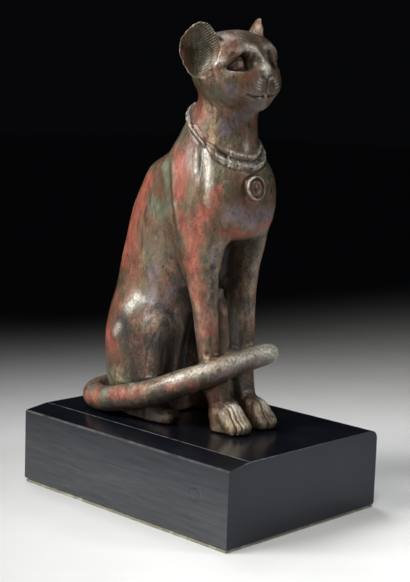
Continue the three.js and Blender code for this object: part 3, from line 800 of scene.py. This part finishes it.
# Painted shade, with some dark crust: between and inside the legs, under the body and the tail, and on the
# haunch's shaded side.
shade_and_crust_paths = [
    (4.5, 1, (3, -9, 52), (3.5, -9, 40), (3.5, -10, 26)), (7, 1, (0, -2, 46), (0, 2, 36), (2, 2, 24)),
    (3.2, 0.8, (7, -15, 56), (7, -14, 44), (7, -15, 28)),
    (3, 0.8, (-8, -8, 50), (-7.5, -9, 40), (-7.5, -10.5, 30)),
    (4, 0.8, (-9, 0, 52), (-9.5, -1, 38), (-10, -1, 24)),
    (5, 0.9, (-12, -4, 8), (-4, -12, 10), (6, -12, 12)),
    (3.5, 0.85, (-10, -17, 10), (-6, -19, 12), (3, -18, 12), (8, -19, 12)),
    (2, 0.9, (-1.5, -18, 6), (-2, -26, 3), (3.2, -24, 3)),
    (3.5, 0.85, (-16, 12, 3), (-15.5, 2, 3), (-13, -2, 2)), (8, 0.9, (-2, 4, 4), (0, 8, 10)),
    (1.8, 0.95, (-9.8, -13.6, 52), (-9, -13.6, 40)), (5, 1, (-13, 2, 34), (-14, 3, 18)),
    (5.5, 0.92, (-17.2, 16.6, 30), (-17.4, 10, 24), (-17.4, 12, 15)),
    (4, 0.95, (-17.5, 6, 34), (-18.2, 6, 28), (-17.6, 8, 18)), (3, 0.7, (-11.6, 1.5, 46), (-11.6, 1, 38)),
    (3, 1, (-25, 18, 2.5), (-24.6, 8, 6), (-22.5, -2, 8.5), (-18, -12, 12.5)),
    (3, 0.42, (-24, 2, 11), (-20, -8, 13.5), (-12, -17, 18), (0, -20, 20.5)),
    (2.5, 0.9, (-12, -18.5, 15.5), (0, -20.8, 18.4), (12, -20.8, 19)),
    (1.8, 0.8, (-26.5, 19, 6), (-26, 12.5, 8)), (1.5, 0.5, (-17, -15, 16.5), (-12, -18.8, 18)),
]
# Painted highlights on rubbed bare metal: the paws, the shoulder ridges, the haunch and the top of the tail.
highlight_and_bare_paths = [
    (2.2, 1.2, (-5.5, -21.5, 8.6), (-6, -26, 6.8), (-6.4, -28, 4)),
    (2, 1.1, (6, -22, 8.4), (6.5, -25.5, 6.8)),
    (1.4, 0.9, (-11.1, -9.8, 84.4), (-12.5, -12.2, 79.2), (-13.4, -14.1, 74.9)),
    (0.55, 0.7, (-11.8, -6.5, 83.2), (-13.2, -8.1, 78.3)),
    (2, 0.85, (-15.2, 14.2, 37.9), (-16.6, 15.8, 34.6)), (1.3, 0.8, (-17.9, 19.4, 28.2), (-17.6, 21, 26)),
    (1.4, 0.9, (-20.6, -7, 15.8), (-19, -10.4, 17.2)), (1.8, 0.8, (-17.6, -13, 18.8), (-12, -17.4, 21)),
    (1.8, 0.9, (-8.8, -19, 21.8), (4, -20.4, 23.8), (10.6, -20.6, 24)),
    (3.2, 1.4, (5, -19, 25), (13, -20.4, 24)),
]
# Painted highlights on the head's rubbed metal: the nose tip, the whisker roots, the brows, the nose ridge,
# the cheek ridges, a lid and the lip.
head_highlight_paths = [(1.5, 2, (-0.9, -24.9, 109.8), (-0.3, -25.3, 109))]
head_highlight_paths += [(0.22, 1, *path) for path in whisker_roots]
head_highlight_paths += [
    (0.6, 0.9, (-8, -20, 114.9), (-5, -21, 115.8)), (1.1, 1.5, (-5, -21.1, 115.9), (-2.2, -21.8, 115.3)),
    (0.6, 1.3, (-2, -21.8, 115), (-0.9, -22.8, 112.6), (-0.9, -24, 110.6)),
    (1.3, 1, (-10.5, -12.6, 112.6), (-13, -16.1, 112.2), (-11.8, -17.4, 112.6)),
    (0.4, 0.8, (-11, -18.4, 109.3), (-8, -20.8, 108.7)),
    (0.6, 1.3, (-1.8, -24.6, 101.6), (-0.2, -24.8, 101.4)),
    (0.7, 0.8, (8, -20, 114.9), (5, -21, 115.8), (2, -21.8, 115.2)),
    (1.2, 0.8, (11, -12.6, 112.6), (13, -16.1, 112.2)),
]
noise.seed_set(1)  # without a seed, the vector noise differs from run to run
stir_by, stir_size = 1.8, 5
stirred = skin.at + stir_by * np.array([noise.noise_vector(Vector(p) / stir_size) for p in skin.at])


def weights(paths, points):
    """The strongest pull of the paths on each point."""
    made = np.zeros(len(points))
    for reach, strength, *path in paths:
        made = np.maximum(made, strength * bell(to_path(points, path)[0], reach))
    return made


def hollow(rounds):
    """How far each point lies under, or over, the mean of the skin round it."""
    even = skin.relaxed(skin.at, rounds, np.ones(len(skin.at)), 0.6)
    return ((skin.at - even) * skin.normal).sum(1)


fine_form, broad_form = hollow(4), hollow(30)
ear_rims = on_ears(skin) * ease(fine_form, 0.02, 0.1)
# Painted highlights on bare metal: from the paths, the collar (most in front), the ear rims, the pendant's
# rim and the second strand.
bare_metal_and_highlights = np.maximum.reduce([
    weights(highlight_and_bare_paths, skin.at), weights(head_highlight_paths, skin.head()), (0.15 + 0.45 * in_front) * on_string,
    0.8 * ear_rims, 0.5 * on_disc * ease(radius, 2.9, 3.5), 0.6 * second,
])
keep(cat, "hatch", np.clip(hatch_band, 0, 1))
keep(cat, "slant", hatch_slant / hatch_pitch)
stain_names = ("red", "green", "violet", "gold", "dark")
for name, paths in zip(stain_names, (red_paths, green_paths, violet_paths, gold_paths, shade_and_crust_paths)):
    keep(cat, name, weights(paths, stirred))
keep(cat, "bright", bare_metal_and_highlights)
low_down = fall(skin.at[:, 2], 24, 36)
off_paws = 1 - ease(-skin.at[:, 1], 18, 21) * fall(skin.at[:, 2], 9, 12)
# Painted shade low down: the pale wear is kept off the sides and undersides, but not off the paws.
wear_off_shaded_sides = 1 - 0.8 * low_down * off_paws * fall(skin.normal[:, 2], -0.1, 0.8)
proud = np.clip(ease(fine_form, 0.01, 0.09) + 0.6 * ease(broad_form, 0.08, 0.5), 0, 1)
keep(cat, "rubbed", proud * wear_off_shaded_sides)
# Painted shade in the hollows, with some dark crust.
keep(cat, "hollow", np.clip(ease(-fine_form, 0.01, 0.1) + 0.7 * ease(-broad_form, 0.05, 0.5), 0, 1))
print("weights kept; forms", fine_form.std().round(3), broad_form.std().round(3))

# %% [markdown]
# ## Bronze
# Cast tin bronze, waxed, with an old patina: copper oxides and carbonates over brown metal. To the eye
# it is half metal and half crust, with soft broad highlights that whiten on the rubbed places. So the
# shader is only partly metallic, patches lower the metal and raise the roughness, and rubbing does the
# opposite. A thin clear coat stands for the wax, and it is thinner over the crust.

# %% Bronze colours
bronze, node, where = new_material("patinated cast bronze")
drawn = node("Mapping", {"Scale": (1, 1, 0.5), "Vector": where})
grain = {}
for name, size, detail, vector in (
    ("cloud", 11, 4, where), ("patch", 5, 10, drawn), ("blot", 2.2, 8, drawn),
    ("streak", 3, 8, drawn), ("fleck", 0.8, 5, where), ("speck", 0.6, 3, where),
):
    pattern = node("TexNoise", {
        "Scale": metre / size, "Detail": detail, "Roughness": 0.68, "Distortion": 0.4, "Vector": vector,
    })
    grain[name] = node("MapRange", {"From Min": 0.32, "From Max": 0.68, "Value": pattern})
brown = node("MixRGB", {0: grain["blot"], 1: linear("#3a2419"), 2: linear("#966246")})
olive = node("MixRGB", {0: grain["streak"], 1: linear("#2c2e25"), 2: linear("#6c684f")})
colour = node("MixRGB", {0: grain["cloud"], 1: brown, 2: olive})
stains = (
    ("violet", "cloud", "#483d42", "#8f808a", 0.8),
    ("green", "patch", "#384030", "#6c765c", 0.8),
    ("red", "patch", "#5a2619", "#ba624b", 0.9),
    ("gold", "blot", "#675741", "#cab592", 0.85),
    # painted shade and dark crust share this tone
    ("dark", "cloud", "#110e0c", "#2a211b", 0.85),
)
given = {}
for name in ("violet", "green", "red", "gold", "dark", "hollow", "rubbed", "bright", "hatch", "slant"):
    given[name] = node("Attribute", {"attribute_name": name}, "Fac")
crust = None  # the strongest of the stains, except the gold
for name, pattern, deep_tone, pale_tone, most in stains:
    stippled = node("MixRGB", {0: 0.55, 1: grain[pattern], 2: grain["fleck"]})
    broken = node("Math", {"operation": "MULTIPLY_ADD", 0: given[name], 1: 0.85, 2: stippled})
    mask = node("MapRange", {"From Min": 0.75, "From Max": 1.2, "To Max": most, "Value": broken})
    inner = grain["streak" if name == "red" else "blot"]
    tone = node("MixRGB", {0: inner, 1: linear(deep_tone), 2: linear(pale_tone)})
    colour = node("MixRGB", {0: mask, 1: colour, 2: tone})
    if name != "gold":
        crust = mask if crust is None else node("Math", {"operation": "MAXIMUM", 0: crust, 1: mask})
print("stains", [stain[0] for stain in stains])

# %% [markdown]
# Wear comes after the stains. Hollows are painted dark, as shade with some dark crust, fine dark flecks
# lie everywhere, and the high places are rubbed pale: broadly where the form stands proud, and down to
# bright metal, which also paints their highlights, on the collar, the brows, the nose, the rims of the
# ears and a few ridges. The fine lines inside the ears are cut hairs, too fine for the skin's squares,
# so the material draws them, slanting and broken.

# %% Bronze wear, painted shade and highlights, and shader
# Hollows darken: painted shade with some dark crust.
shade = node("MapRange", {"To Max": 0.85, "Value": given["hollow"]})
broken = node("MapRange", {
    "From Min": 0.2, "From Max": 0.9, "To Min": 0.05, "To Max": 0.7, "Value": grain["blot"],
})
rubbed = node("Math", {"operation": "MULTIPLY", 0: given["rubbed"], 1: broken})
flecks = node("MapRange", {"From Min": 0.55, "To Max": 0.7, "Value": grain["fleck"]})
scuffed = node("MapRange", {"From Min": 0.25, "From Max": 0.75, "To Min": 0.2, "Value": grain["fleck"]})
# Bare metal, which is also painted highlight.
bare_and_highlight_mix = node("Math", {"operation": "MULTIPLY", 0: given["bright"], 1: scuffed})
wander = node("Math", {"operation": "MULTIPLY_ADD", 0: grain["streak"], 1: 0.6, 2: given["slant"]})
line = node("Math", {"operation": "PINGPONG", 0: wander, 1: 0.5})
line = node("MapRange", {"From Min": 0.08, "From Max": 0.26, "To Min": 1, "To Max": 0, "Value": line})
patchy = node("MapRange", {"From Min": 0.3, "From Max": 0.75, "To Min": 0.05, "Value": grain["blot"]})
hatch = node("Math", {"operation": "MULTIPLY", 0: given["hatch"], 1: patchy})
line = node("Math", {"operation": "MULTIPLY", 0: line, 1: hatch})
between = node("Math", {"operation": "MULTIPLY", 0: hatch, 1: 0.5})
# The dark of the hollows is painted shade; the pale of the bare metal is bare metal and painted highlight.
for amount, code in (
    (shade, "#0f0b09"), (rubbed, "#aa9c88"), (flecks, "#1a1711"),
    (bare_and_highlight_mix, "#dfdacd"), (between, "#1f1f18"), (line, "#b3b09e"),
):
    colour = node("MixRGB", {0: amount, 1: colour, 2: linear(code)})
dull = node("MapRange", {"To Min": 0.24, "To Max": 0.44, "Value": crust})
rough = node("Math", {"operation": "MULTIPLY_ADD", 0: grain["blot"], 1: 0.16, 2: dull})
metallic = node("MapRange", {"To Min": 0.5, "To Max": 0.2, "Value": crust})
pits = node("MapRange", {"From Min": 0.85, "From Max": 0.4, "Value": grain["speck"]})
wavy = node("Bump", {"Strength": 0.6, "Distance": 0.0004, "Height": grain["blot"]})
pitted = node("Bump", {"Strength": 0.4, "Distance": 0.00015, "Height": pits, "Normal": wavy})
cut = node("Bump", {"Strength": 0.5, "Distance": 0.0002, "Height": line, "Normal": pitted})
wax = node("MapRange", {"To Min": 0.3, "To Max": 0.06, "Value": crust})
shader = node("BsdfPrincipled", {
    "Coat Roughness": 0.22, "Base Color": colour, "Coat Weight": wax, "Roughness": rough,
    "Metallic": metallic, "Normal": cut,
})
node("OutputMaterial", {"Surface": shader})
take(cat)
bpy.ops.object.shade_smooth()
put_on(cat, bronze, "bronze_cat")
print("bronze nodes", len(bronze.node_tree.nodes))

# %% [markdown]
# ## The block
# A hardwood block, lacquered black and rubbed to a gloss, with a broad bevel on one side and softened
# arrises. Its copy keeps the solid's planes. Each large plane is inset by a hair, so that the border can
# carry the wear and the painted highlight of the arrises, and one long side is marked for its lighter
# grey, which paints the light on that side as well as scuffs.

# %% Block
block = copy_of("plinth", "block", whole_flats=True)
large = 200e-6  # square metres
border = 0.0007
long_edges = 0.0305  # distance from the middle plane beyond which the long edges lie
choose_faces(block, [face.area > large for face in block.data.polygons])
bpy.ops.mesh.inset(thickness=border, use_individual=True)
bpy.ops.object.mode_set(mode="OBJECT")
# Edge wear on the arrises, which is also painted highlight.
edge_wear_and_highlight = np.ones(len(block.data.vertices))
for face in block.data.polygons:
    if face.select:
        edge_wear_and_highlight[list(face.vertices)] = 0
for vertex in block.data.vertices:
    if abs(vertex.co.x) > long_edges:
        edge_wear_and_highlight[vertex.index] *= 0.8
keep(block, "arris", edge_wear_and_highlight)
bpy.ops.object.shade_smooth_by_angle(angle=math.radians(25))
# The near long side is painted a lighter grey: the light on that side, and scuffs low down.
keep(block, "scuff", [face.normal.x < -0.5 for face in block.data.polygons], "FACE")
print("block faces", len(block.data.polygons), "large", sum(f.select for f in block.data.polygons))

# %% [markdown]
# Lacquer is a clear dark film over the wood. It mirrors the room weakly, so its faces take their tone
# from the floor and the lamps. Fine level brush marks and one small ring-shaped dent break the mirror
# up. One long side is painted a lighter grey, most low down, for the light on that side and for scuffs,
# and the arrises are worn to a thin pale line that also paints their highlight. The index of refraction
# is a little under that of new lacquer, as the rubbed film reflects less.

# %% Lacquer material
lacquer, node, where = new_material("black lacquered hardwood")
stretched = node("Mapping", {"Scale": (0.08, 0.08, 1), "Vector": where})
brush = node("TexNoise", {"Scale": metre / 1.1, "Detail": 4, "Roughness": 0.6, "Vector": stretched})
smudge = node("TexNoise", {"Scale": metre / 14, "Detail": 4, "Vector": where})
tone = node("MixRGB", {0: brush, 1: linear("#07080c"), 2: linear("#15181f")})
# The lighter grey of that long side: painted light, and scuffs.
scuffed = node("MixRGB", {0: brush, 1: linear("#1b1c1e"), 2: linear("#4b4c4e")})
height = node("SeparateXYZ", {"Vector": where}, "Z")
low_down = node("MapRange", {"From Min": 0.0245, "From Max": 0.012, "To Min": 0.35, "Value": height})
scuff = node("Attribute", {"attribute_name": "scuff"}, "Fac")
scuff = node("Math", {"operation": "MULTIPLY", 0: scuff, 1: low_down})
tone = node("MixRGB", {0: scuff, 1: tone, 2: scuffed})
arris = node("Attribute", {"attribute_name": "arris"}, "Fac")
chips = node("TexNoise", {"Scale": metre / 6, "Detail": 5, "Roughness": 0.7, "Vector": where})
arris = node("MapRange", {"From Min": 0.75, "Value": arris})
chips = node("MapRange", {"From Min": 0.35, "From Max": 0.65, "To Min": 0.2, "To Max": 0.95, "Value": chips})
edge_line_and_highlight = node("Math", {"operation": "MULTIPLY", 0: arris, 1: chips})
# The pale arris line: wear, and painted highlight.
tone = node("MixRGB", {0: edge_line_and_highlight, 1: tone, 2: linear("#b2b2ae")})
rough = node("MapRange", {"From Min": 0.3, "From Max": 0.7, "To Min": 0.1, "To Max": 0.2, "Value": smudge})
rough = node("Math", {"operation": "MULTIPLY_ADD", 0: brush, 1: 0.12, 2: rough})
low_bump = node("Bump", {"Strength": 0.12, "Distance": 0.0004, "Height": smudge})
dent_place, dent_radius, dent_width = (-0.0337, -0.0325, 0.0143), 0.0019, 0.0006
off_ring = node("VectorMath", {"operation": "DISTANCE", 0: where, 1: dent_place}, "Value")
off_ring = node("Math", {"operation": "SUBTRACT", 0: off_ring, 1: dent_radius})
off_ring = node("Math", {"operation": "ABSOLUTE", 0: off_ring})
ring = node("MapRange", {"From Max": dent_width, "Value": off_ring})
dent = node("Bump", {"Strength": 0.6, "Distance": 0.0002, "Height": ring, "Normal": low_bump})
bump = node("Bump", {"Strength": 0.12, "Distance": 0.0001, "Height": brush, "Normal": dent})
shader = node("BsdfPrincipled", {
    "IOR": 1.4, "Specular Tint": (0.8, 0.87, 1, 1), "Base Color": tone, "Roughness": rough, "Normal": bump,
})
node("OutputMaterial", {"Surface": shader})
put_on(block, lacquer, "plinth")
print("lacquer nodes", len(lacquer.node_tree.nodes))

# %% [markdown]
# ## The felt
# Wool felt glued under the block. Its edge was cut with scissors and has frayed, so the edge of the
# copy is divided finely and moved in and out by noise, within the block's outline.

# %% Felt
felt = copy_of("felt_pad", "felt", whole_flats=True)
bpy.ops.object.mode_set(mode="EDIT")
bpy.ops.mesh.select_all(action="SELECT")
bpy.ops.mesh.subdivide(number_cuts=50)
bpy.ops.object.mode_set(mode="OBJECT")
felt_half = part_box("felt_pad")[1]
fray_depth, fray_limit = 0.00032, 0.00038
for vertex in felt.data.vertices:
    p = vertex.co
    for axis in (0, 1):
        if abs(abs(p[axis]) - felt_half[axis]) < 1e-6:
            fray = noise.noise(p * 900) * 0.6 + noise.noise(p * 350) * 0.4
            p[axis] += math.copysign(min(fray_depth * fray, fray_limit), p[axis])
felt.data.update()
print("felt points", len(felt.data.vertices))

# %% [markdown]
# Olive wool, pale where it is matted: dull, fibrous, with a little sheen at a low angle and no gloss.
# Real fibres are a fiftieth of a millimetre thick, so they are drawn as coarse tangles that show.

# %% Felt material
wool, node, where = new_material("olive wool felt")
fibres = node("TexNoise", {"Scale": metre / 0.35, "Detail": 4, "Distortion": 1.5, "Vector": where})
matted = node("TexNoise", {"Scale": metre / 4, "Detail": 3, "Vector": where})
tone = node("MixRGB", {0: fibres, 1: linear("#4b4a39"), 2: linear("#8f8d74")})
matted = node("MapRange", {"From Min": 0.55, "From Max": 0.7, "To Max": 0.7, "Value": matted})
tone = node("MixRGB", {0: matted, 1: tone, 2: linear("#b5b3a2")})
bump = node("Bump", {"Strength": 0.8, "Distance": 0.0002, "Height": fibres})
shader = node("BsdfPrincipled", {"Roughness": 0.95, "Sheen Weight": 0.4, "Base Color": tone, "Normal": bump})
node("OutputMaterial", {"Surface": shader})
put_on(felt, wool, "felt_pad")
print("felt nodes", len(wool.node_tree.nodes))

# %% [markdown]
# ## The floor's finish
# Matt pale card, slightly uneven in tone, so that it takes soft shadows and shows no gloss.

# %% Floor material
paper, node, where = new_material("pale studio floor")
tooth = node("TexNoise", {"Scale": 40, "Detail": 2, "Vector": where})
tone = node("MixRGB", {0: tooth, 1: linear("#dcdcdb"), 2: linear("#e6e6e5")})
shader = node("BsdfPrincipled", {"Roughness": 0.7, "Base Color": tone})
node("OutputMaterial", {"Surface": shader})
floor.data.materials.append(paper)
print("floor nodes", len(paper.node_tree.nodes))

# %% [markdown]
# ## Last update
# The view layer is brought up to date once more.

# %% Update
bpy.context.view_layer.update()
